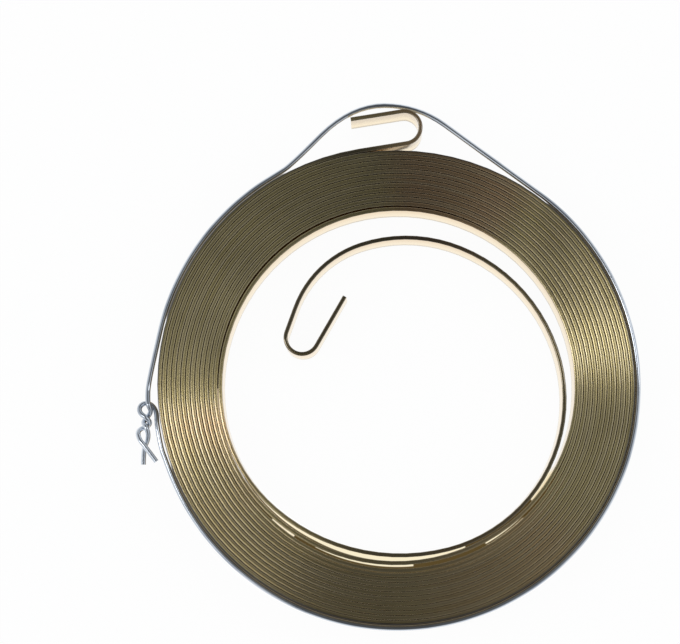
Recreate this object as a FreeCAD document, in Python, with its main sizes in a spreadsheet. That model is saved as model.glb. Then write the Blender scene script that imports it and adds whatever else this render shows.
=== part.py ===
import FreeCAD, Part
import math
import os

# A recoil starter spring as it is sold: a flat steel strip wound into a tight spiral,
# with a hook bent on each end, held closed by one binding wire.
# Millimetres. The origin is the coil axis in the plane of the strip's lower edge, +Z is up.

os.makedirs("parts", exist_ok=True)
doc = FreeCAD.newDocument("recoil_starter_spring")
sheet = doc.addObject("Spreadsheet::Sheet", "sizes")

DRIVING_SIZES = [
    # The strip
    ("strip_thickness", 0.5),
    ("strip_width", 8.0),
    # The tight winding, from the outer end inwards
    ("coil_outer_radius", 30.79),
    ("turn_gap", 0.1),
    ("tight_turns", 12),
    ("outer_end_angle", 99.0),
    # The outer hook, bent outwards against the winding
    ("outer_leg_length", 6.15),
    ("outer_hook_radius", 1.84),
    ("outer_hook_bend", 180.0),
    ("outer_tip_length", 6.65),
    # The innermost turns, looser than the winding. Each arc of them is the winding's inner
    # radius plus an ease, over a sweep: they sag inwards at the bottom of the coil, close up
    # again, and the last one swings free towards the middle.
    ("settled_ease", 0.05),
    ("settled_sweep", 100.5),
    ("sag_start_ease", -1.25),
    ("sag_start_sweep", 30.0),
    ("sag_floor_ease", 0.45),
    ("sag_floor_sweep", 78.0),
    ("sag_end_ease", -0.95),
    ("sag_end_sweep", 51.0),
    ("inner_turn_ease", -0.4),
    ("inner_turn_sweep", 191.0),
    ("slit_start_ease", -3.2),
    ("slit_start_sweep", 40.0),
    ("slit_floor_ease", 1.4),
    ("slit_floor_sweep", 55.0),
    ("swing_out_ease", -3.4),
    ("swing_out_sweep", 89.5),
    ("swing_top_ease", -1.95),
    ("swing_top_sweep", 54.0),
    ("swing_in_ease", -4.5),
    ("swing_in_sweep", 40.0),
    ("swing_end_ease", -9.9),
    ("swing_end_sweep", 52.0),
    # The inner hook, bent the way the strip is wound
    ("inner_leg_length", 3.3),
    ("inner_hook_radius", 1.86),
    ("inner_hook_bend", 170.0),
    ("inner_tip_length", 7.3),
    # The binding wire and how it lies on the coil
    ("wire_radius", 0.325),
    ("wire_sides", 6),
    ("wire_height", 7.2),
    ("wire_coil_gap", 0.15),
    ("wire_hook_gap", 0.235),
    ("wire_tip_lead", 0.07),
    ("wire_shoulder_angle", 115.9),
    ("wire_shoulder_rise", 0.185),
    ("wire_right_angle", 53.8),
    ("wire_upper_left_angle", 167.6),
    ("wire_lower_left_angle", 200.5),
    # The twist that closes the wire
    ("twist_stand_off", 0.77),
    ("twist_top", -1.94),
    ("strand_gap", 0.04),
]

for row, (alias, number) in enumerate(DRIVING_SIZES, start=1):
    sheet.set("A%d" % row, alias)
    sheet.set("B%d" % row, str(number))
    sheet.setAlias("B%d" % row, alias)
doc.recompute()


def size(alias):
    return float(sheet.get(alias))


def direction(degrees):
    return FreeCAD.Vector(math.cos(math.radians(degrees)), math.sin(math.radians(degrees)), 0)


half_thickness = size("strip_thickness") / 2
pitch = size("strip_thickness") + size("turn_gap")
winding_radius = size("coil_outer_radius") - half_thickness
outer_end = direction(size("outer_end_angle"))
tight_turns = int(size("tight_turns"))


# The strip's middle line

class MiddleLine:
    """Tangent lines and arcs, each kept as what its offset on either side needs."""

    def __init__(self, start, heading):
        self.point = start
        self.heading = heading
        self.pieces = []

    def line(self, length):
        end = self.point + direction(self.heading) * length
        self.pieces.append(("line", self.point, end, direction(self.heading + 90)))
        self.point = end

    def arc(self, radius, sweep):
        """Turns to the left."""
        centre = self.point + direction(self.heading + 90) * radius
        first = self.heading - 90
        self.pieces.append(("arc", centre, radius, (first, first + sweep)))
        self.heading += sweep
        self.point = centre + direction(self.heading - 90) * radius

    def side(self, offset):
        """The edges at this distance to the left of the line."""
        edges = []
        for kind, first, second, third in self.pieces:
            if kind == "line":
                edges.append(Part.LineSegment(first + third * offset, second + third * offset))
            else:
                start, end = [math.radians(angle) for angle in third]
                circle = Part.Circle(first, FreeCAD.Vector(0, 0, 1), second - offset)
                edges.append(Part.ArcOfCircle(circle, start, end))
        return edges

    def end_cap(self):
        across = direction(self.heading + 90) * half_thickness
        return Part.LineSegment(self.point - across, self.point + across)


# Inwards: the tight winding is half circles, each a quarter of the pitch apart in centre,
# so every turn closes in by exactly one pitch.
inwards = MiddleLine(outer_end * winding_radius, size("outer_end_angle") + 90)
for half_turn in range(2 * tight_turns):
    inwards.arc(winding_radius - pitch * (2 * half_turn + 1) / 4, 180)
inner_radius = winding_radius - pitch * (tight_turns + 0.25)
for name in ("settled", "sag_start", "sag_floor", "sag_end", "inner_turn", "slit_start",
             "slit_floor", "swing_out", "swing_top", "swing_in", "swing_end"):
    inwards.arc(inner_radius + size(name + "_ease"), size(name + "_sweep"))
inwards.line(size("inner_leg_length"))
inwards.arc(size("inner_hook_radius") + half_thickness, size("inner_hook_bend"))
inwards.line(size("inner_tip_length"))

# Outwards: the strip leaves the coil along its tangent and folds back over itself.
outwards = MiddleLine(outer_end * winding_radius, size("outer_end_angle") - 90)
outwards.line(size("outer_leg_length"))
hook_centre = outwards.point + direction(outwards.heading + 90) * (
    size("outer_hook_radius") + half_thickness)
outwards.arc(size("outer_hook_radius") + half_thickness, size("outer_hook_bend"))
outwards.line(size("outer_tip_length"))
tip_corner = outwards.point - direction(outwards.heading + 90) * half_thickness


# The spring strip: its outline seen from above, padded by the strip's width

strip = doc.addObject("PartDesign::Body", "spring_strip")
strip.Label = "spring_strip"
outline = strip.newObject("Sketcher::SketchObject", "strip_outline")
ground = [plane for plane in strip.Origin.OriginFeatures if plane.Role == "XY_Plane"][0]
outline.AttachmentSupport = [(ground, "")]
outline.MapMode = "FlatFace"
outline_edges = []
for middle in (inwards, outwards):
    for offset in (half_thickness, -half_thickness):
        outline_edges += middle.side(offset)
    outline_edges.append(middle.end_cap())
outline.addGeometry(outline_edges, False)
pad = strip.newObject("PartDesign::Pad", "strip_pad")
pad.Profile = outline
pad.setExpression("Length", "sizes.strip_width")
strip.Tip = pad


# The binding wire's route

wire_radius = size("wire_radius")
wire_height = size("wire_height")
UP = FreeCAD.Vector(0, 0, 1)


class Seat:
    """The arc that the wire follows on one half of the coil's outermost turn."""

    def __init__(self, quarter_pitches, side):
        turn_radius = winding_radius - pitch * quarter_pitches / 4
        self.radius = turn_radius + half_thickness + size("wire_coil_gap") + wire_radius
        self.centre = outer_end * (side * pitch / 4) + UP * wire_height

    def at(self, degrees):
        return self.centre + direction(degrees) * self.radius

    def run(self, start, end):
        middle = self.at((start + end) / 2)
        return Part.Arc(self.at(start), middle, self.at(end)).toShape()


left_seat = Seat(1, 1)
right_seat = Seat(3, -1)
seats_meet = size("outer_end_angle") + 180


def crossing(point, heading, other, other_heading):
    """Where two lines in the wire's plane meet."""
    along = direction(heading)
    normal = direction(other_heading + 90)
    return point + along * ((other - point).dot(normal) / along.dot(normal))


# Over the outer hook the wire is a bridge: up from the right, level, down past the
# hook's tip, then a shallow shoulder back onto the coil.
right_leave = size("wire_right_angle")
level = hook_centre + UP * wire_height
level.y += size("outer_hook_radius") + 2 * half_thickness + size("wire_hook_gap") + wire_radius
right_corner = crossing(right_seat.at(right_leave), right_leave + 90, level, 180)
left_corner = FreeCAD.Vector(tip_corner.x + size("wire_tip_lead"), level.y, wire_height)
shoulder_radius = left_seat.radius + size("wire_shoulder_rise")
shoulder = left_seat.centre + direction(size("wire_shoulder_angle")) * shoulder_radius
shoulder_leave = size("wire_shoulder_angle") + math.degrees(
    math.acos(left_seat.radius / shoulder_radius))

# On the left both ends stand off the coil and are twisted together.
upper_leave = size("wire_upper_left_angle")
lower_leave = size("wire_lower_left_angle")
twist_x = left_seat.at(180).x - size("twist_stand_off")
twist_start = FreeCAD.Vector(twist_x, size("twist_top"), wire_height)
upper_bend = crossing(left_seat.at(upper_leave), upper_leave + 90, twist_start, 270)

# Corner points of the two strands, in wire radii from the twist's top. The third number
# is how far the strand is lifted, where 1 and -1 pass over and under the other strand.
UPPER_STRAND = [
    (0.0, 0.0, 0.6),
    (0.3, -1.9, 1.0),
    (1.4, -4.3, 0.1),
    (-0.5, -6.7, -1.0),
    (-2.0, -8.6, 0.0),
    (-0.5, -10.5, 1.0),
    (0.2, -12.7, 0.3),
    (0.0, -15.2, -0.4),
    (-1.2, -17.8, -1.0),
    (-1.7, -20.3, -1.0),
    (-1.8, -25.1, -1.0),
]
LOWER_STRAND = [
    (5.3, -18.8, 0.0),
    (3.5, -9.1, -0.1),
    (3.4, -4.3, -0.5),
    (1.6, -1.6, -1.0),
    (-0.5, -0.8, -1.0),
    (-2.5, -1.3, -0.7),
    (-3.5, -3.0, -0.2),
    (-3.0, -5.0, 0.5),
    (-0.5, -6.8, 1.0),
    (1.1, -8.6, 0.0),
    (-0.5, -10.5, -1.0),
    (-2.5, -10.8, -0.8),
    (-3.8, -12.0, -0.2),
    (-3.8, -13.7, 0.4),
    (-2.8, -15.9, 0.9),
    (-1.2, -17.8, 1.0),
    (1.1, -20.7, 1.0),
    (3.5, -24.0, 1.0),
]
# Rounding a corner draws it in, so the points stand further out than the wire.
ROUNDING_KEEPS = 0.7
strand_lift = (wire_radius + size("strand_gap") / 2) / ROUNDING_KEEPS


def strand(points):
    return [twist_start + FreeCAD.Vector(x * wire_radius, y * wire_radius, lift * strand_lift)
            for x, y, lift in points]


# How much of the shorter run beside a corner its arc takes up.
CORNER_SHARE = 0.45


def rounded(points):
    """Straight runs joined by a tangent arc at each corner."""
    edges = []
    last = points[0]
    radii = []
    for before, corner, after in zip(points, points[1:], points[2:]):
        back = before - corner
        ahead = after - corner
        trim = CORNER_SHARE * min(back.Length, ahead.Length)
        back.normalize()
        ahead.normalize()
        half_turn = (math.pi - back.getAngle(ahead)) / 2
        radii.append(trim / math.tan(half_turn))
        bisector = (back + ahead).normalize()
        inside = corner + bisector * (radii[-1] / math.cos(half_turn) - radii[-1])
        edges.append(Part.LineSegment(last, corner + back * trim).toShape())
        last = corner + ahead * trim
        edges.append(Part.Arc(corner + back * trim, inside, last).toShape())
    edges.append(Part.LineSegment(last, points[-1]).toShape())
    return edges, radii


upper_points = list(reversed(strand(UPPER_STRAND))) + [upper_bend, left_seat.at(upper_leave)]
bridge_points = [left_seat.at(shoulder_leave), shoulder, left_corner, right_corner,
                 right_seat.at(right_leave)]
lower_points = [left_seat.at(lower_leave)] + strand(LOWER_STRAND)
upper_edges, upper_radii = rounded(upper_points)
bridge_edges, bridge_radii = rounded(bridge_points)
lower_edges, lower_radii = rounded(lower_points)
route_edges = list(upper_edges)
route_edges.append(left_seat.run(upper_leave, shoulder_leave))
route_edges += bridge_edges
route_edges.append(right_seat.run(right_leave, seats_meet - 360))
route_edges.append(left_seat.run(seats_meet, lower_leave))
route_edges += lower_edges
print("tightest bend of the wire, mm:", round(min(upper_radii + bridge_radii + lower_radii), 3))


# The binding wire: its section swept along its route. Six flat sides stand for the round wire.

route = doc.addObject("Part::Feature", "binding_wire_route")
route.Shape = Part.Wire(route_edges)
section = doc.addObject("Part::RegularPolygon", "binding_wire_section")
section.setExpression("Polygon", "sizes.wire_sides")
section.setExpression("Circumradius", "sizes.wire_radius")
first_run = upper_points[1] - upper_points[0]
section.Placement = FreeCAD.Placement(upper_points[0], FreeCAD.Rotation(UP, first_run))
binding_wire = doc.addObject("Part::Sweep", "binding_wire")
binding_wire.Label = "binding_wire"
binding_wire.Sections = [section]
binding_wire.Spine = (route, ["Edge%d" % number for number in range(1, len(route_edges) + 1)])
binding_wire.Solid = True
doc.recompute()


# Checks, then one file for each piece

for item in doc.Objects:
    if "Invalid" in item.State or "Error" in item.State:
        raise RuntimeError("%s did not compute: %s" % (item.Label, item.State))
for piece in (strip, binding_wire):
    shape = piece.Shape
    if shape.isNull() or not shape.isValid() or len(shape.Solids) != 1:
        raise RuntimeError("%s is not one valid solid" % piece.Label)
    print(piece.Label, "volume", round(shape.Volume, 2), "box", shape.BoundBox)
    shape.exportStep("parts/%s.step" % piece.Label)
print("wire route length", round(route.Shape.Length, 2),
      "section times length", round(math.pi * wire_radius ** 2 * route.Shape.Length, 2))
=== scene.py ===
# %% [markdown]
# # A recoil starter spring
# The spring of a small engine's pull starter is one long flat steel strip, wound into a
# tight coil with a hook on each end, and held closed by one twisted wire until it is fitted.
# The packed model gives the frame: both pieces lie where it says, and this script gives
# them their finish. The frame comes first, because every later piece is placed in it.

# %% Load the frame
import math
import bpy
from mathutils import Matrix, Vector


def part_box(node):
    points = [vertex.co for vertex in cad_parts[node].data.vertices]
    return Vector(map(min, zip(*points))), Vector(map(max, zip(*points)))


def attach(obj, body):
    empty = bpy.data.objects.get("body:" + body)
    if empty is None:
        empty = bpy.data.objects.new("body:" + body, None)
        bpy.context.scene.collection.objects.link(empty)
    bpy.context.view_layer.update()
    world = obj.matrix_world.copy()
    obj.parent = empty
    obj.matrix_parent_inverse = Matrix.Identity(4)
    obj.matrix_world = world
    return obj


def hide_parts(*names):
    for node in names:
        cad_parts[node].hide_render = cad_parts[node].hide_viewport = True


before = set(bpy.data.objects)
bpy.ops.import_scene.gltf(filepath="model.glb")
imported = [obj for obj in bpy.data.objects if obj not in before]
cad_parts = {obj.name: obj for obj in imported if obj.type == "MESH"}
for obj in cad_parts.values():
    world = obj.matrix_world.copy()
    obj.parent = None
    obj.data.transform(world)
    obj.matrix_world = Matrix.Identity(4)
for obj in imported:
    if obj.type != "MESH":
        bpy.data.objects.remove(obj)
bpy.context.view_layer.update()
print("frame nodes:", sorted(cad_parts))

# %% [markdown]
# ## Sizes
# These are the sizes that the spring was designed with, in millimetres, as they would be
# on its drawing. Everything below is worked out from them, so a wider strip or a looser
# winding needs one number changed. The heights are read from the frame instead.

# %% Sizes of the strip
MM = 0.001
STRIP_THICKNESS = 0.5
STRIP_WIDTH = (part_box("spring_strip")[1].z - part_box("spring_strip")[0].z) / MM
TURN_GAP = 0.1
COIL_OUTER_RADIUS = 30.79
TIGHT_TURNS = 12
OUTER_END_ANGLE = 99.0
OUTER_LEG, OUTER_HOOK_RADIUS, OUTER_HOOK_BEND, OUTER_TIP = 6.15, 1.84, 180, 6.65
INNER_LEG, INNER_HOOK_RADIUS, INNER_HOOK_BEND, INNER_TIP = 3.3, 1.86, 170, 7.3

half_thickness = STRIP_THICKNESS / 2
pitch = STRIP_THICKNESS + TURN_GAP
winding_radius = COIL_OUTER_RADIUS - half_thickness
print("strip width, mm:", round(STRIP_WIDTH, 2), "pitch, mm:", pitch)

# %% [markdown]
# ## The strip's path
# Seen from above, the strip follows one line of straight runs and arcs. A tight winding is
# drawn as half circles, each closing in by half a pitch. The innermost turns have let go a
# little, so each of their arcs is the winding's inner radius plus an ease. A long list of
# points would give the same picture, but arcs keep the curve truly round and say what the
# bender's rolls did.

# %% Path of runs and arcs
# Each loose arc: its ease in millimetres and its sweep in degrees.
LOOSE_ARCS = [
    (0.05, 100.5), (-1.25, 30), (0.45, 78), (-0.95, 51), (-0.4, 191), (-3.2, 40),
    (1.4, 55), (-3.4, 89.5), (-1.95, 54), (-4.5, 40), (-9.9, 52),
]


def direction(degrees):
    return Vector((math.cos(math.radians(degrees)), math.sin(math.radians(degrees)), 0))


outer_end = direction(OUTER_END_ANGLE)
outer_bend = OUTER_HOOK_RADIUS + half_thickness
path_heading = OUTER_END_ANGLE - 90
path_start = outer_end * (winding_radius + 2 * outer_bend)
path_start += direction(path_heading) * (OUTER_LEG - OUTER_TIP)

# A run is ("run", length). An arc is ("arc", radius, sweep), where a sweep to the left counts up.
path = [("run", OUTER_TIP), ("arc", outer_bend, -OUTER_HOOK_BEND), ("run", OUTER_LEG)]
for half_turn in range(2 * TIGHT_TURNS):
    path.append(("arc", winding_radius - pitch * (2 * half_turn + 1) / 4, 180))
inner_radius = winding_radius - pitch * (TIGHT_TURNS + 0.25)
for ease, sweep in LOOSE_ARCS:
    path.append(("arc", inner_radius + ease, sweep))
path += [("run", INNER_LEG), ("arc", INNER_HOOK_RADIUS + half_thickness, INNER_HOOK_BEND),
         ("run", INNER_TIP)]
print("pieces of the path:", len(path))

# %% [markdown]
# ## The strip
# The real strip is slit from a wide coil of steel, its edges are dressed round, and it is
# wound up. A curve with a bevel could stand for it, or a long box bent by a modifier. Here
# its cross-section is drawn once and then swept, as the mill does it. The section starts
# as a circle, is squashed and is pulled apart into a flat bar, so its two edges keep the
# circle's roundness.

# %% Draw the strip's cross-section
SECTION_POINTS = 24
EDGE_CROWN = 0.09
# The sheet is a hair thicker beside its slit edges.
BURR = 0.01


def deselect_all():
    bpy.ops.object.select_all(action="DESELECT")


deselect_all()
middle = STRIP_WIDTH * MM / 2
bpy.ops.mesh.primitive_circle_add(
    vertices=SECTION_POINTS, radius=(half_thickness + BURR) * MM, fill_type="NGON")
strip = bpy.context.object
strip.name = "wound_strip"
# Half a step's turn leaves no point at mid height, where the section is pulled apart.
strip.rotation_euler = (0, 0, math.pi / SECTION_POINTS)
bpy.ops.object.transform_apply(rotation=True)
strip.scale = (1, EDGE_CROWN / half_thickness, 1)
bpy.ops.object.transform_apply(scale=True)
strip.rotation_euler = (math.pi / 2, 0, math.radians(path_heading + 90))
strip.location = path_start * MM + Vector((0, 0, middle))
bpy.ops.object.transform_apply(location=True, rotation=True)
print("points in the cross-section:", len(strip.data.vertices))

# %% [markdown]
# ### Pulling the section apart
# Scaling the whole circle would make an oval. A flat bar has its round parts only at its
# two ends, so the upper half of the points is moved up and the lower half down, and the
# edges between them become the flat faces. By hand a selection box would pick the points.
# In code the box is a test of its place, which each point passes or fails.

# %% Pull the section apart


def select_points(piece, wanted):
    """In edit mode: selects only the vertices for which wanted(place) is true."""
    bpy.ops.mesh.select_all(action="DESELECT")
    bpy.ops.object.mode_set(mode="OBJECT")
    for vertex in piece.data.vertices:
        vertex.select = wanted(vertex.co)
    bpy.ops.object.mode_set(mode="EDIT")


bpy.ops.object.mode_set(mode="EDIT")
bpy.ops.mesh.select_mode(type="VERT")
pull = middle - EDGE_CROWN * MM
for side in (1, -1):
    select_points(strip, lambda place: (place.z - middle) * side > 0)
    bpy.ops.transform.translate(value=(0, 0, side * pull))
bpy.ops.mesh.select_all(action="SELECT")
print("pulled apart by, mm:", round(2 * pull / MM, 2))

# %% [markdown]
# ### Sweeping the section
# Extrude takes the section along each straight run, and Spin takes it round the centre of
# each arc. The last ring stays selected, so the next run or arc starts where this one
# stopped. Spin gives true arcs and even rings of faces; a bend of the small hooks needs
# fewer rings than a turn of the coil. Each ring's centre is noted for the next step.

# %% Sweep it along the path
COIL_STEP, HOOK_STEP = 4.5, 9.0
HOOK_RADIUS_LIMIT = 5
place, heading, travelled = path_start.copy(), path_heading, 0.0
ring_centres = [(place.copy(), heading, travelled)]
for piece_of_path in path:
    if piece_of_path[0] == "run":
        length = piece_of_path[1]
        shift = direction(heading) * length
        bpy.ops.mesh.extrude_region_move(TRANSFORM_OT_translate={"value": shift * MM})
        place = place + shift
        travelled += length
        ring_centres.append((place.copy(), heading, travelled))
        continue
    radius, sweep = piece_of_path[1:]
    side = math.copysign(1, sweep)
    centre = place + direction(heading + 90 * side) * radius
    step = HOOK_STEP if radius < HOOK_RADIUS_LIMIT else COIL_STEP
    steps = math.ceil(abs(sweep) / step)
    # Spin counts a turn to the right as positive.
    bpy.ops.mesh.spin(steps=steps, angle=math.radians(-sweep), center=centre * MM, axis=(0, 0, 1))
    for count in range(1, steps + 1):
        turned = heading + sweep * count / steps
        ring_place = centre + direction(turned - 90 * side) * radius
        arc_length = radius * math.radians(abs(sweep)) * count / steps
        ring_centres.append((ring_place, turned, travelled + arc_length))
    place, heading, travelled = ring_centres[-1]
bpy.ops.object.mode_set(mode="OBJECT")
print("rings:", len(ring_centres), "strip length, mm:", round(travelled))

# %% [markdown]
# ## Places along the strip
# Grain, streaks and tarnish follow the strip and not the room, so each point is told how
# far along the strip it is and where it lies across its thickness. A UV map could hold
# this, but two named attributes are easier to read in the shader. The points come in rings
# of the cross-section, in the order in which Spin made them.

# %% Write the two attributes
along = strip.data.attributes.new("along", "FLOAT", "POINT")
across = strip.data.attributes.new("across", "FLOAT", "POINT")
worst = 0.0
for number, vertex in enumerate(strip.data.vertices):
    ring_place, ring_heading, distance = ring_centres[number // SECTION_POINTS]
    offset = vertex.co / MM - ring_place
    offset.z = 0
    along.data[number].value = distance * MM
    across.data[number].value = offset.dot(direction(ring_heading + 90)) / half_thickness
    worst = max(worst, abs(offset.dot(direction(ring_heading))))
print("points:", len(strip.data.vertices), "furthest off its ring, mm:", round(worst, 4))

# %% [markdown]
# ### Smooth shading
# The rings are close enough to look round once their shading is smooth. Plain smooth
# shading would also bend the light on the flat walls near each rounded edge, so the
# normals are weighted by the size of the faces, and the wide walls win.

# %% Shade it smooth, with the flat walls kept flat
SMOOTH_BELOW = 40
deselect_all()
strip.select_set(True)
bpy.context.view_layer.objects.active = strip
bpy.ops.object.mode_set(mode="EDIT")
bpy.ops.mesh.select_all(action="SELECT")
bpy.ops.mesh.normals_make_consistent(inside=False)
bpy.ops.object.mode_set(mode="OBJECT")
bpy.ops.object.shade_smooth_by_angle(angle=math.radians(SMOOTH_BELOW))
weighted = strip.modifiers.new("flat_walls", "WEIGHTED_NORMAL")
weighted.keep_sharp = True
bpy.ops.object.modifier_apply(modifier=weighted.name)
print("strip faces:", len(strip.data.polygons))

# %% [markdown]
# ## The binding wire
# A soft zinc-coated wire goes once round the coil, is lifted over the outer hook, and its
# two ends are twisted together. It could be swept by Spin as the strip was, but its ends
# turn in all directions, and a curve with a round bevel follows them better. The curve is
# a smooth spline that touches the middle of every leg between two points, so a point
# belongs at each bend, with two more near it where a long leg should stay straight.

# %% Sizes of the wire
WIRE_RADIUS = 0.32
WIRE_HEIGHT = 7.2
WIRE_COIL_GAP, WIRE_HOOK_GAP, WIRE_TIP_LEAD = 0.155, 0.24, 0.07
WIRE_SHOULDER_ANGLE, WIRE_SHOULDER_RISE, WIRE_RIGHT_ANGLE = 115.9, 0.185, 53.8
WIRE_UPPER_LEFT_ANGLE, WIRE_LOWER_LEFT_ANGLE = 167.6, 200.5
TWIST_STAND_OFF, TWIST_TOP, STRAND_GAP = 0.77, -1.94, 0.04
TWIST_UNIT = 0.325
# The spline passes a lifted corner at about this share of its lift.
LIFT_KEPT = 0.7
STRAND_LIFT = (TWIST_UNIT + STRAND_GAP / 2) / LIFT_KEPT
wire_level = Vector((0, 0, WIRE_HEIGHT))
print("wire, mm across:", 2 * WIRE_RADIUS, "at height:", WIRE_HEIGHT)

# %% [markdown]
# ### Its seat on the coil
# The wire lies on the outermost turn, which is two half circles with two centres. So the
# wire has a seat on each half, worked out from the strip's own sizes and a small gap. The
# corners of a spline lie outside the curve that it draws, by as much as the corners of a
# polygon lie outside the circle in it.

# %% Seats of the wire


class Seat:
    """The arc that the wire follows on one half of the coil's outermost turn."""

    def __init__(self, quarter_pitches, side):
        self.radius = winding_radius - pitch * quarter_pitches / 4 + half_thickness
        self.radius += WIRE_COIL_GAP + WIRE_RADIUS
        self.centre = outer_end * (side * pitch / 4) + wire_level

    def at(self, degrees):
        return self.centre + direction(degrees) * self.radius

    def corners(self, start, end, step=6):
        """Points round the arc from outside it, so that the spline between them lies on it."""
        count = math.ceil(abs(end - start) / step)
        half = (end - start) / count / 2
        outer = self.radius / math.cos(math.radians(half))
        turns = [start + half * (2 * number - 1) for number in range(count + 2)]
        return [self.centre + direction(turn) * outer for turn in turns]


left_seat = Seat(1, 1)
right_seat = Seat(3, -1)
seats_meet = OUTER_END_ANGLE + 180
print("seat radii, mm:", round(left_seat.radius, 3), round(right_seat.radius, 3))

# %% [markdown]
# ### Where the wire bends
# Over the hook the wire is a bridge: up from the right, level, down past the hook's tip,
# and back to the coil over a shallow shoulder. The bends are where straight legs meet, so
# they are worked out by crossing lines, as with a pencil and a ruler.

# %% Bends of the bridge


def crossing(point, heading, other, other_heading):
    """Where two lines in the wire's plane meet."""
    line = direction(heading)
    normal = direction(other_heading + 90)
    return point + line * ((other - point).dot(normal) / line.dot(normal))


def beside(corner, other, distance):
    """A point on the leg from corner to other, at this distance from the corner."""
    return corner + (other - corner).normalized() * distance


hook_end = path_start + direction(path_heading) * OUTER_TIP
hook_centre = hook_end - outer_end * outer_bend
level = hook_centre + wire_level
level.y += OUTER_HOOK_RADIUS + STRIP_THICKNESS + WIRE_HOOK_GAP + WIRE_RADIUS
tip_corner = path_start + outer_end * half_thickness
right_corner = crossing(right_seat.at(WIRE_RIGHT_ANGLE), WIRE_RIGHT_ANGLE + 90, level, 180)
left_corner = Vector((tip_corner.x + WIRE_TIP_LEAD, level.y, level.z))
shoulder_radius = left_seat.radius + WIRE_SHOULDER_RISE
shoulder = left_seat.centre + direction(WIRE_SHOULDER_ANGLE) * shoulder_radius
shoulder_leave = WIRE_SHOULDER_ANGLE
shoulder_leave += math.degrees(math.acos(left_seat.radius / shoulder_radius))
level_leg = (left_corner - right_corner).length
twist_x = left_seat.at(180).x - TWIST_STAND_OFF
twist_start = Vector((twist_x, TWIST_TOP, WIRE_HEIGHT))
upper_bend = crossing(
    left_seat.at(WIRE_UPPER_LEFT_ANGLE), WIRE_UPPER_LEFT_ANGLE + 90, twist_start, 270)
print("level leg over the hook, mm:", round(level_leg, 2))

# %% [markdown]
# ### The twist
# The wire's two ends are twisted by hand with pliers, so no formula gives their shape. The
# strands are listed corner by corner, in wire radii from the top of the twist. The third
# number lifts a strand: 1 passes over the other strand and -1 under it.

# %% Corners of the two strands
UPPER_STRAND = [
    (0.0, 0.0, 0.6), (0.3, -1.9, 1.0), (1.4, -4.3, 0.1), (-0.5, -6.7, -1.0), (-2.0, -8.6, 0.0),
    (-0.5, -10.5, 1.0), (0.2, -12.7, 0.3), (0.0, -15.2, -0.4), (-1.2, -17.8, -1.0),
    (-1.7, -20.3, -1.0), (-1.8, -25.1, -1.0),
]
LOWER_STRAND = [
    (5.3, -18.8, 0.0), (3.5, -9.1, -0.1), (3.4, -4.3, -0.5), (1.6, -1.6, -1.0), (-0.5, -0.8, -1.0),
    (-2.5, -1.3, -0.7), (-3.5, -3.0, -0.2), (-3.0, -5.0, 0.5), (-0.5, -6.8, 1.0), (1.1, -8.6, 0.0),
    (-0.5, -10.5, -1.0), (-2.5, -10.8, -0.8), (-3.8, -12.0, -0.2), (-3.8, -13.7, 0.4),
    (-2.8, -15.9, 0.9), (-1.2, -17.8, 1.0), (1.1, -20.7, 1.0), (3.5, -24.0, 1.0),
]


def strand(corners):
    return [twist_start + Vector((x * TWIST_UNIT, y * TWIST_UNIT, lift * STRAND_LIFT))
            for x, y, lift in corners]


route = list(reversed(strand(UPPER_STRAND))) + [upper_bend]
route += left_seat.corners(WIRE_UPPER_LEFT_ANGLE, shoulder_leave)
route += [shoulder, left_corner, right_corner]
route.append(beside(right_corner, right_seat.at(WIRE_RIGHT_ANGLE), level_leg))
route += right_seat.corners(WIRE_RIGHT_ANGLE, seats_meet - 360)[:-1]
route += left_seat.corners(seats_meet, WIRE_LOWER_LEFT_ANGLE)[1:]
route += strand(LOWER_STRAND)
print("points in the wire's route:", len(route))

# %% [markdown]
# ### From a route to a wire
# A curve through the route's corners gets a round bevel of the wire's radius and capped
# ends. It then becomes a mesh like any other piece, and the points that the caps have
# twice are merged.

# %% Draw the curve and make it a mesh
BEVEL_STEPS, STEPS_PER_LEG = 6, 8
SAME_POINT = 1e-6
WIRE_SMOOTH_BELOW = 50
curve = bpy.data.curves.new("tie_wire", "CURVE")
curve.dimensions = "3D"
curve.resolution_u = STEPS_PER_LEG
spline = curve.splines.new("NURBS")
spline.points.add(len(route) - 1)
for point, corner in zip(spline.points, route):
    point.co = (*(corner * MM), 1)
spline.order_u = 3
spline.use_endpoint_u = True
curve.bevel_depth = WIRE_RADIUS * MM
curve.bevel_resolution = BEVEL_STEPS
curve.use_fill_caps = True
wire = bpy.data.objects.new("tie_wire", curve)
bpy.context.scene.collection.objects.link(wire)
deselect_all()
wire.select_set(True)
bpy.context.view_layer.objects.active = wire
bpy.ops.object.convert(target="MESH")
bpy.ops.object.mode_set(mode="EDIT")
bpy.ops.mesh.select_all(action="SELECT")
bpy.ops.mesh.remove_doubles(threshold=SAME_POINT)
bpy.ops.mesh.normals_make_consistent(inside=False)
bpy.ops.object.mode_set(mode="OBJECT")
bpy.ops.object.shade_smooth_by_angle(angle=math.radians(WIRE_SMOOTH_BELOW))
print("wire faces:", len(wire.data.polygons))

# %% [markdown]
# ## Shader maths
# A material is a sum of small decisions, and sums read best as sums. Nodes could be added
# and linked one by one, as in the editor, but a long list of links hides the idea. This
# class wraps an output socket, so that +, - and * add Math nodes, and one method adds any
# other node.

# %% A small class for shader sockets


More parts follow.
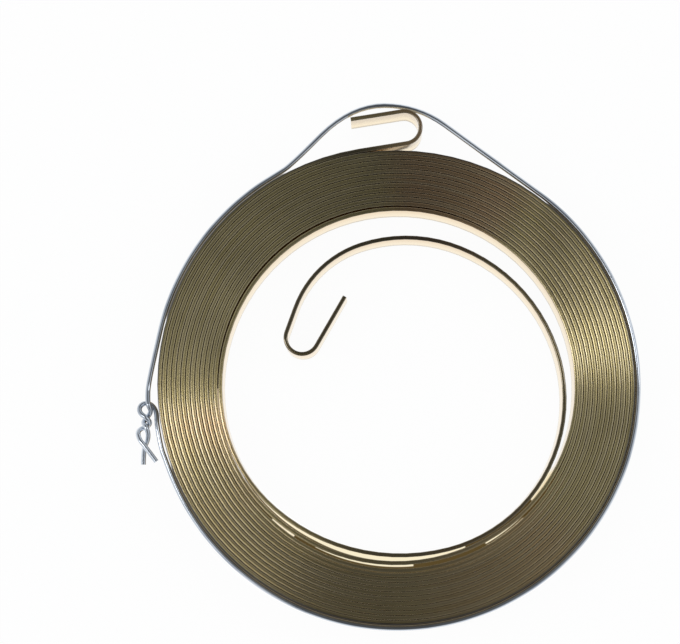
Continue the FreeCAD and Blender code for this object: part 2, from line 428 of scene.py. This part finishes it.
class Shade:
    """A socket's value in one material."""

    def __init__(self, tree, socket):
        self.tree = tree
        self.socket = socket

    def node(self, kind, inputs=(), out=0, **settings):
        made = self.tree.nodes.new(kind)
        for key, value in settings.items():
            setattr(made, key, value)
        for key, value in dict(inputs).items():
            if isinstance(value, Shade):
                self.tree.links.new(value.socket, made.inputs[key])
            else:
                made.inputs[key].default_value = value
        return Shade(self.tree, made.outputs[out])

    def maths(self, operation, first, second=0.0):
        return self.node("ShaderNodeMath", {0: first, 1: second}, operation=operation)

    def __add__(self, other):
        return self.maths("ADD", self, other)

    def __sub__(self, other):
        return self.maths("SUBTRACT", self, other)

    def __mul__(self, other):
        return self.maths("MULTIPLY", self, other)

    def __rsub__(self, other):
        return self.maths("SUBTRACT", other, self)

    __radd__ = __add__
    __rmul__ = __mul__

    def absolute(self):
        return self.maths("ABSOLUTE", self)

    def at_least(self, least):
        return self.maths("MAXIMUM", self, least)

    def axis(self, number):
        """The x, y or z of a place, as number 0, 1 or 2."""
        return self.node("ShaderNodeSeparateXYZ", {0: self}, out=number)

    def band(self, low, high):
        """0 below low, 1 above high, smooth between."""
        return self.node("ShaderNodeMapRange", {0: self, 1: low, 2: high},
                         interpolation_type="SMOOTHSTEP")

    def blend(self, dark, light):
        """The colour dark where this is 0, and light where it is 1."""
        return self.node("ShaderNodeMix", {0: self, 6: dark, 7: light}, out=2, data_type="RGBA")


print("maths on sockets:", [name for name in vars(Shade) if not name.startswith("__")])

# %% [markdown]
# ### Helpers for materials
# Every material below starts the same way, reads places in the piece's own coordinates and
# writes its colours as they look on screen. A few patterns depend on the direction in
# which a point lies from the coil's axis, as an hour on a clock face, so that is a helper
# too.

# %% Helpers for materials


def new_material(name):
    """A material, its shader node and a first Shade to start sums from."""
    material = bpy.data.materials.new(name)
    material.use_nodes = True
    tree = material.node_tree
    shader = tree.nodes["Principled BSDF"]
    coordinates = tree.nodes.new("ShaderNodeTexCoord")
    return material, shader, Shade(tree, coordinates.outputs["Object"])


def feed(shader, **sockets):
    """Links or sets the shader's sockets, named with _ for a space."""
    for name, value in sockets.items():
        socket = shader.inputs[name.replace("_", " ")]
        if isinstance(value, Shade):
            value.tree.links.new(value.socket, socket)
        else:
            socket.default_value = value


def colour(red, green, blue):
    """A colour as seen on screen, from 0 to 255, in the linear light that shaders work in."""
    return tuple((part / 255) ** 2.2 for part in (red, green, blue)) + (1,)


def between(value, low, high, soft):
    """1 from low to high, fading to 0 over soft on either side."""
    return value.band(low - soft, low) - value.band(high, high + soft)


def bearing_of(place):
    """The angle in degrees at which a point is seen from the coil's axis, from +X."""
    return place.maths("ARCTAN2", place.axis(1), place.axis(0)) * math.degrees(1)


print("a middle grey in linear light:", round(colour(128, 128, 128)[0], 3))

# %% [markdown]
# ## Spring steel
# Oil and heat have tinted the slit edges of the real strip bronze brown, and its rolled
# faces stay bright and mirror the table. Two materials could meet at the strip's corners,
# but the corners are round, so one metal does both, and a mask says how near a point is to
# an edge. The streaks read the distance along the strip, and so they run with each turn.

# %% Masks and patterns on the steel
EDGE_DEPTH = 0.35 * MM
steel, steel_shader, place = new_material("spring_steel")
height = place.axis(2)
on_strip = place.node("ShaderNodeAttribute", out=2, attribute_name="along")
in_strip = place.node("ShaderNodeAttribute", out=2, attribute_name="across")
edge_depth = STRIP_WIDTH * MM / 2 - (height - STRIP_WIDTH * MM / 2).absolute()
edge = 1 - edge_depth.band(0.0, EDGE_DEPTH)

streak_place = place.node("ShaderNodeCombineXYZ", {0: on_strip * 60, 1: in_strip * 0.8})
streak = place.node("ShaderNodeTexNoise", {"Vector": streak_place, "Scale": 1.0, "Detail": 4.0})
patch = place.node("ShaderNodeTexNoise", {"Vector": place, "Scale": 70.0, "Detail": 3.0})
warm = place.node("ShaderNodeTexNoise",
                  {"Vector": place, "Scale": 45.0, "Detail": 1.0, "Distortion": 0.4})
bearing = bearing_of(place)
print("nodes for masks and patterns:", len(steel.node_tree.nodes))

# %% [markdown]
# ### The edges
# The edges are an olive brown, with warmer patches where the coil was held as it was wound,
# and pale lines drawn out along each turn. The two free ends are darker, because no
# neighbour has rubbed them bright. Painted light and shade lie over this: the edges are
# painted paler towards the near side, darker at their rounded corners in the slits between
# turns, and dark on the outer rim of the outermost turn, beside the wire. The layers are
# blended one over the other, broad patches first and fine lines last, in the order in which
# the oil, the rubbing and the tarnish came.

# %% Colour of the edges
# Each patch: from and to what bearing, how far it fades, and how strong it is.
HELD_PATCHES = [(64, 84, 14, 1.0), (-166, -148, 12, 1.0), (-74, -48, 14, 0.6)]
held = sum(between(bearing, low, high, fade) * share for low, high, fade, share in HELD_PATCHES)
olive = patch.band(0.35, 0.65).blend(colour(160, 144, 92), colour(194, 176, 116))
bronze = (held * warm.band(0.25, 0.5)).blend(olive, colour(190, 152, 106))
# Painted light: towards the near side, where more light falls, the bronze is painted paler.
painted_near_light = 1 - place.axis(1).band(-26 * MM, -8 * MM)
bronze = (painted_near_light * 0.45).blend(bronze, colour(216, 188, 130))
lined = (streak.band(0.35, 0.7) * 0.5).blend(bronze, colour(214, 198, 158))

# Painted shade: each edge is darker at its rounded corners, in the slits between turns.
corner = in_strip.absolute().band(0.55, 0.95)
lined = (corner * 0.5).blend(lined, colour(110, 94, 64))
strip_end = ring_centres[-1][2] * MM
free_end = 1 - on_strip.band(19 * MM, 30 * MM)
free_end = free_end + on_strip.band(strip_end - 130 * MM, strip_end - 70 * MM)
lined = (free_end * 0.75).blend(lined, colour(74, 62, 42))
outermost = on_strip.band(20 * MM, 26 * MM) * (1 - on_strip.band(205 * MM, 212 * MM))
# Painted shade: the outer half of the outermost turn's edge is darkened, beside the wire.
outside = outermost * (1 - in_strip.band(-0.7, -0.2))
lined = (outside * 0.95).blend(lined, colour(34, 32, 30))
print("warm patches:", len(HELD_PATCHES), "outermost turn, mm of strip:", (20, 212))

# %% [markdown]
# ### The faces
# A rolled face shows little colour of its own. It is a warm white, and its paler lower part
# is a painted reflection of the table it mirrors. Along its foot a darker, less metallic line
# is painted shade, where it meets the table. The coil's outer face is painted browner, as
# shade that the wire mirrors, and the outer hook, which was heated for bending, mirrors less.

# %% Colour of the faces
# Painted reflection: the face is painted paler low down, towards the white table it mirrors.
painted_table_reflection = 1 - height.band(2.0 * MM, 7.8 * MM)
face = streak.band(0.3, 0.7).blend(colour(222, 196, 154), colour(240, 218, 180))
face = painted_table_reflection.blend(face, colour(254, 248, 234))
# Painted shade: the coil's outer face is darkened, and the wire mirrors it.
face = (outside * 0.9).blend(face, colour(124, 112, 92))
# Painted shade: a darker, less metallic line along the foot, where the face meets the table.
painted_foot_shade = 1 - height.band(0.9 * MM, 1.6 * MM)
face = (painted_foot_shade * 0.75).blend(face, colour(168, 152, 122))
heated = (1 - on_strip.band(13 * MM, 20 * MM)) * height.band(2.0 * MM, 7.0 * MM)
# Less metal where the hook was heated, and less at the foot, as painted shade.
dull_heat_and_foot_shade = heated * 0.55 + painted_foot_shade * 0.4
print("nodes for the steel:", len(steel.node_tree.nodes))

# %% [markdown]
# ### The steel's shine
# Rolling and slitting leave scratches along the strip, which stretch a highlight across
# them: that is what anisotropy does. The oil on the edges is a thin clear coat. All of
# this is the same over the whole strip, so it is set as plain numbers, and only colour,
# metal, roughness and oil change from place to place.

# %% Shine of the steel
feed(steel_shader, Base_Color=edge.blend(face, lined), Metallic=1 - dull_heat_and_foot_shade,
     Roughness=0.06 + edge * (0.14 + patch * 0.08), Specular_Tint=colour(254, 242, 220),
     Anisotropic=0.9, Anisotropic_Rotation=0.25,
     Coat_Weight=edge, Coat_Roughness=0.08, Coat_IOR=1.8)
strip.data.materials.clear()
strip.data.materials.append(steel)
print("strip's materials:", [material.name for material in strip.data.materials])

# %% [markdown]
# ## Zinc-coated wire
# Soft binding wire comes with a thin bright coat of zinc. It is almost a mirror, with a
# faint grain from the drawing die and greyer spots where the pliers gripped it. A picture
# of real zinc could be wrapped round it, but on a wire this thin two noises look the same.

# %% Zinc-coated wire
zinc, zinc_shader, place = new_material("galvanised_wire")
grain = place.node("ShaderNodeTexNoise", {"Vector": place, "Scale": 900.0, "Detail": 3.0})
gripped = place.node("ShaderNodeTexNoise", {"Vector": place, "Scale": 160.0, "Detail": 2.0})
coat = gripped.band(0.4, 0.7).blend(colour(222, 228, 236), colour(190, 197, 207))
feed(zinc_shader, Base_Color=coat, Metallic=1.0, Roughness=0.05 + grain * 0.05)
wire.data.materials.clear()
wire.data.materials.append(zinc)
print("nodes for the zinc:", len(zinc.node_tree.nodes))

# %% [markdown]
# ## On the body
# The whole spring is one rigid body. Each finished piece rides on it, and the plain solid
# of the frame that it stands for is hidden.

# %% Ride on the body, in place of the frame's solid
for piece, node, slot in ((strip, "spring_strip", "spring_steel"),
                          (wire, "binding_wire", "galvanised_wire")):
    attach(piece, "root")
    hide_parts(node)
    print(piece.name, "stands for", node, "in", slot)

# %% [markdown]
# ## Floor
# The spring lies on a white table that is lit until nothing of it shows but white. A
# strong lamp would bleach the steel too, so the table glows instead, and only for the
# camera and for metal that mirrors it. Underneath it is an ordinary white surface, and
# a trace of the shadow is left. Under the coil almost no light gets in, so the glow needs
# a mask, which is worked out from the distance to the axis and the bearing, and there the
# glow and the surface's own colour are painted shade.

# %% Floor and the coil's edge on it
FLOOR_SIZE = 1.6
FLOOR_DROP = 0.02 * MM
WIRE_SHADOW = 0.8 * MM
deselect_all()
bpy.ops.mesh.primitive_plane_add(size=FLOOR_SIZE, location=(0, 0, -FLOOR_DROP))
floor = bpy.context.object
floor.name = "floor"
bpy.ops.object.transform_apply(location=True)
paper, paper_shader, place = new_material("white_table")
from_axis = place.node("ShaderNodeVectorMath", {0: place}, out=1, operation="LENGTH")
# From the camera, the wire's circle falls on the floor a little off the axis.
from_wire_axis = place.node("ShaderNodeVectorMath", {0: place, 1: (0.04 * MM, 0.42 * MM, 0)},
                             out=1, operation="DISTANCE")
bearing = bearing_of(place)
wound = place.maths("FRACT", (bearing - OUTER_END_ANGLE + 360) * (1 / 360))
wired = between(bearing, -157, 48, 8.0) + between(bearing, 120, 160, 8.0)
coil_edge = (COIL_OUTER_RADIUS + 0.05) * MM - wound * (pitch * MM) + wired * WIRE_SHADOW
reach = from_axis + (from_wire_axis - from_axis) * wired
beyond = (reach - coil_edge).band(-0.1 * MM, 0.2 * MM)
print("floor, m:", FLOOR_SIZE, "shadow beside the wire, mm:", WIRE_SHADOW / MM)

# %% [markdown]
# ### Light in the slits
# The innermost turns have let go, and the table shines through the slits between them
# where they are open all the way down. Elsewhere a slit ends on the shaded table. Moving
# the turns would spoil the winding, so the open stretches are listed by bearing and
# distance instead, and the rest of the coil's floor is kept dark.

# %% Open and closed slits
# Each open stretch: from and to what bearing and its fade, then from and to what distance
# from the axis and its fade, in millimetres.
OPEN_SLITS = [
    (-117, -85, 0.5, 22.72, 23.1, 0.1),
    (-60, -46, 0.5, 22.95, 23.2, 0.05),
    (-133.5, -125, 0.3, 22.95, 23.6, 0.05),
]
slit = sum(between(bearing, start, end, fade) * between(from_axis, low * MM, high * MM, soft * MM)
           for start, end, fade, low, high, soft in OPEN_SLITS)
first_slit = 22.42 + (-118 - bearing).at_least(0.0) * 0.014 + bearing.band(-70, -50) * 0.33
under_coil = (from_axis - first_slit * MM).band(-0.05 * MM, 0.05 * MM) * (1 - slit) * (1 - beyond)
inner_turn = (21.75 + (bearing + 90).absolute() * 0.0095) * MM
closed = between(bearing, -66.5, -40, 0.5) * (from_axis - inner_turn).band(0.0, 0.1 * MM)
under_coil = under_coil.at_least(closed * (1 - from_axis.band(22.82 * MM, 22.86 * MM)))
print("open slits:", len(OPEN_SLITS))

# %% [markdown]
# ### The table's glow
# Light that reaches the camera through a slit has bounced between warm steel walls, so it
# is cream there and white elsewhere. In the shade it is brown, and outside the coil the
# shade fades to the grey of an ordinary contact shadow.

# %% Glow of the table
GLOW_SHARE = 0.96
near_slit = between(bearing, -146, -30, 4.0)
near_slit = near_slit * between(from_axis - inner_turn, 0.0, 2.6 * MM, 0.1 * MM)
lit = near_slit.blend(colour(255, 255, 255), colour(255, 242, 208))
shade = near_slit.blend(colour(44, 36, 22), colour(92, 76, 46))
past_rim = (reach - COIL_OUTER_RADIUS * MM).band(0.25 * MM, 0.7 * MM)
shade = past_rim.blend(shade, colour(138, 134, 128))
glow = place.node("ShaderNodeEmission", {"Color": under_coil.blend(lit, shade), "Strength": 1.0})
seen = place.node("ShaderNodeLightPath", out=0)
mirrored = place.node("ShaderNodeLightPath", out=3)
shows = seen.at_least(mirrored) * GLOW_SHARE

# Painted shade: under the coil the table's own colour is dark.
feed(paper_shader, Base_Color=under_coil.blend(colour(250, 250, 250), colour(70, 66, 60)),
     Roughness=0.9)
plain = Shade(paper.node_tree, paper_shader.outputs[0])
mixed = place.node("ShaderNodeMixShader", {0: shows, 1: plain, 2: glow})
paper.node_tree.links.new(mixed.socket, paper.node_tree.nodes["Material Output"].inputs[0])
floor.data.materials.append(paper)
print("nodes for the table:", len(paper.node_tree.nodes))

# %% [markdown]
# ## World
# The room is an even, slightly cool white, and it lights the spring from all round. A
# mirror shows what is above it, and above a spring on a table is the dim ceiling behind
# the camera. So in mirrored light the sky is dark overhead and bright at the sides, which
# gives level metal its depth, while the light that falls on the spring stays plain.

# %% World
CEILING_SHADE = 0.88
WORLD_STRENGTH = 0.75
world = bpy.data.worlds.new("studio")
bpy.context.scene.world = world
world.use_nodes = True
background = world.node_tree.nodes["Background"]
looking = world.node_tree.nodes.new("ShaderNodeTexCoord")
looking = Shade(world.node_tree, looking.outputs["Generated"])
ceiling = looking.axis(2).band(0.35, 0.65) * (1 - looking.axis(0).absolute().band(0.0, 0.9))
ceiling = ceiling * looking.node("ShaderNodeLightPath", out=3)
sky = (ceiling * CEILING_SHADE).blend(colour(240, 244, 248), (0, 0, 0, 1))
feed(background, Color=sky, Strength=WORLD_STRENGTH)
print("world strength:", WORLD_STRENGTH)

# %% [markdown]
# ## Lamps
# On a round edge a lamp shows only where the edge faces it, so the bright lines on the
# left and on the right of the coil say where the light came from. Two lamps stand there,
# a strong one on the left and a weak one on the right and a little further back, and a
# third, broad one softens the light from the front left. All three lie level, and their
# width and depth set how far round the coil the bright lines reach.

# %% Lamps
LAMP_HEIGHT = 0.8
# Each lamp: name, from left to right and from near to far in metres, and power in watts.
LAMPS = [
    ("side_lamp", -1.0, -0.25, -0.13, 0.004, 1.15),
    ("far_side_lamp", 0.25, 1.0, 0.06, 0.2, 0.5),
    ("soft_lamp", -0.9, -0.2, -0.5, -0.13, 0.55),
]
for name, left, right, near, far, power in LAMPS:
    deselect_all()
    lamp_place = ((left + right) / 2, (near + far) / 2, LAMP_HEIGHT)
    bpy.ops.object.light_add(type="AREA", location=lamp_place)
    lamp = bpy.context.object
    lamp.name = name
    lamp.data.shape = "RECTANGLE"
    lamp.data.size = right - left
    lamp.data.size_y = far - near
    lamp.data.energy = power
    print(name, "at", [round(part, 3) for part in lamp_place], "power, W:", power)

# %% [markdown]
# ## Camera
# The camera looks from almost straight above through a long lens, a little from the near
# side, so a sliver of the far walls shows. It could be turned to follow a target by a
# constraint, but here it is turned by its own three axes, which keeps the picture's upper
# edge level with the frame's +X.

# %% Camera
PICTURE_WIDTH = 680
PIXELS_PER_UNIT = 3448
SENSOR_WIDTH = 36
camera_place = Vector((-2.08, -23.4, 448)) * MM
looks_at = Vector((-7.3, 8.1, 8)) * MM
deselect_all()
bpy.ops.object.camera_add(location=camera_place)
camera = bpy.context.object
backward = (camera_place - looks_at).normalized()
rightward = Vector((0, 1, 0)).cross(backward).normalized()
axes = Matrix((rightward, backward.cross(rightward), backward)).transposed()
camera.rotation_euler = axes.to_euler()
camera.data.sensor_width = SENSOR_WIDTH
camera.data.lens = PIXELS_PER_UNIT * SENSOR_WIDTH / PICTURE_WIDTH
bpy.context.scene.camera = camera
bpy.context.scene.view_settings.view_transform = "Standard"
print("lens, mm:", round(camera.data.lens, 1))

# %% [markdown]
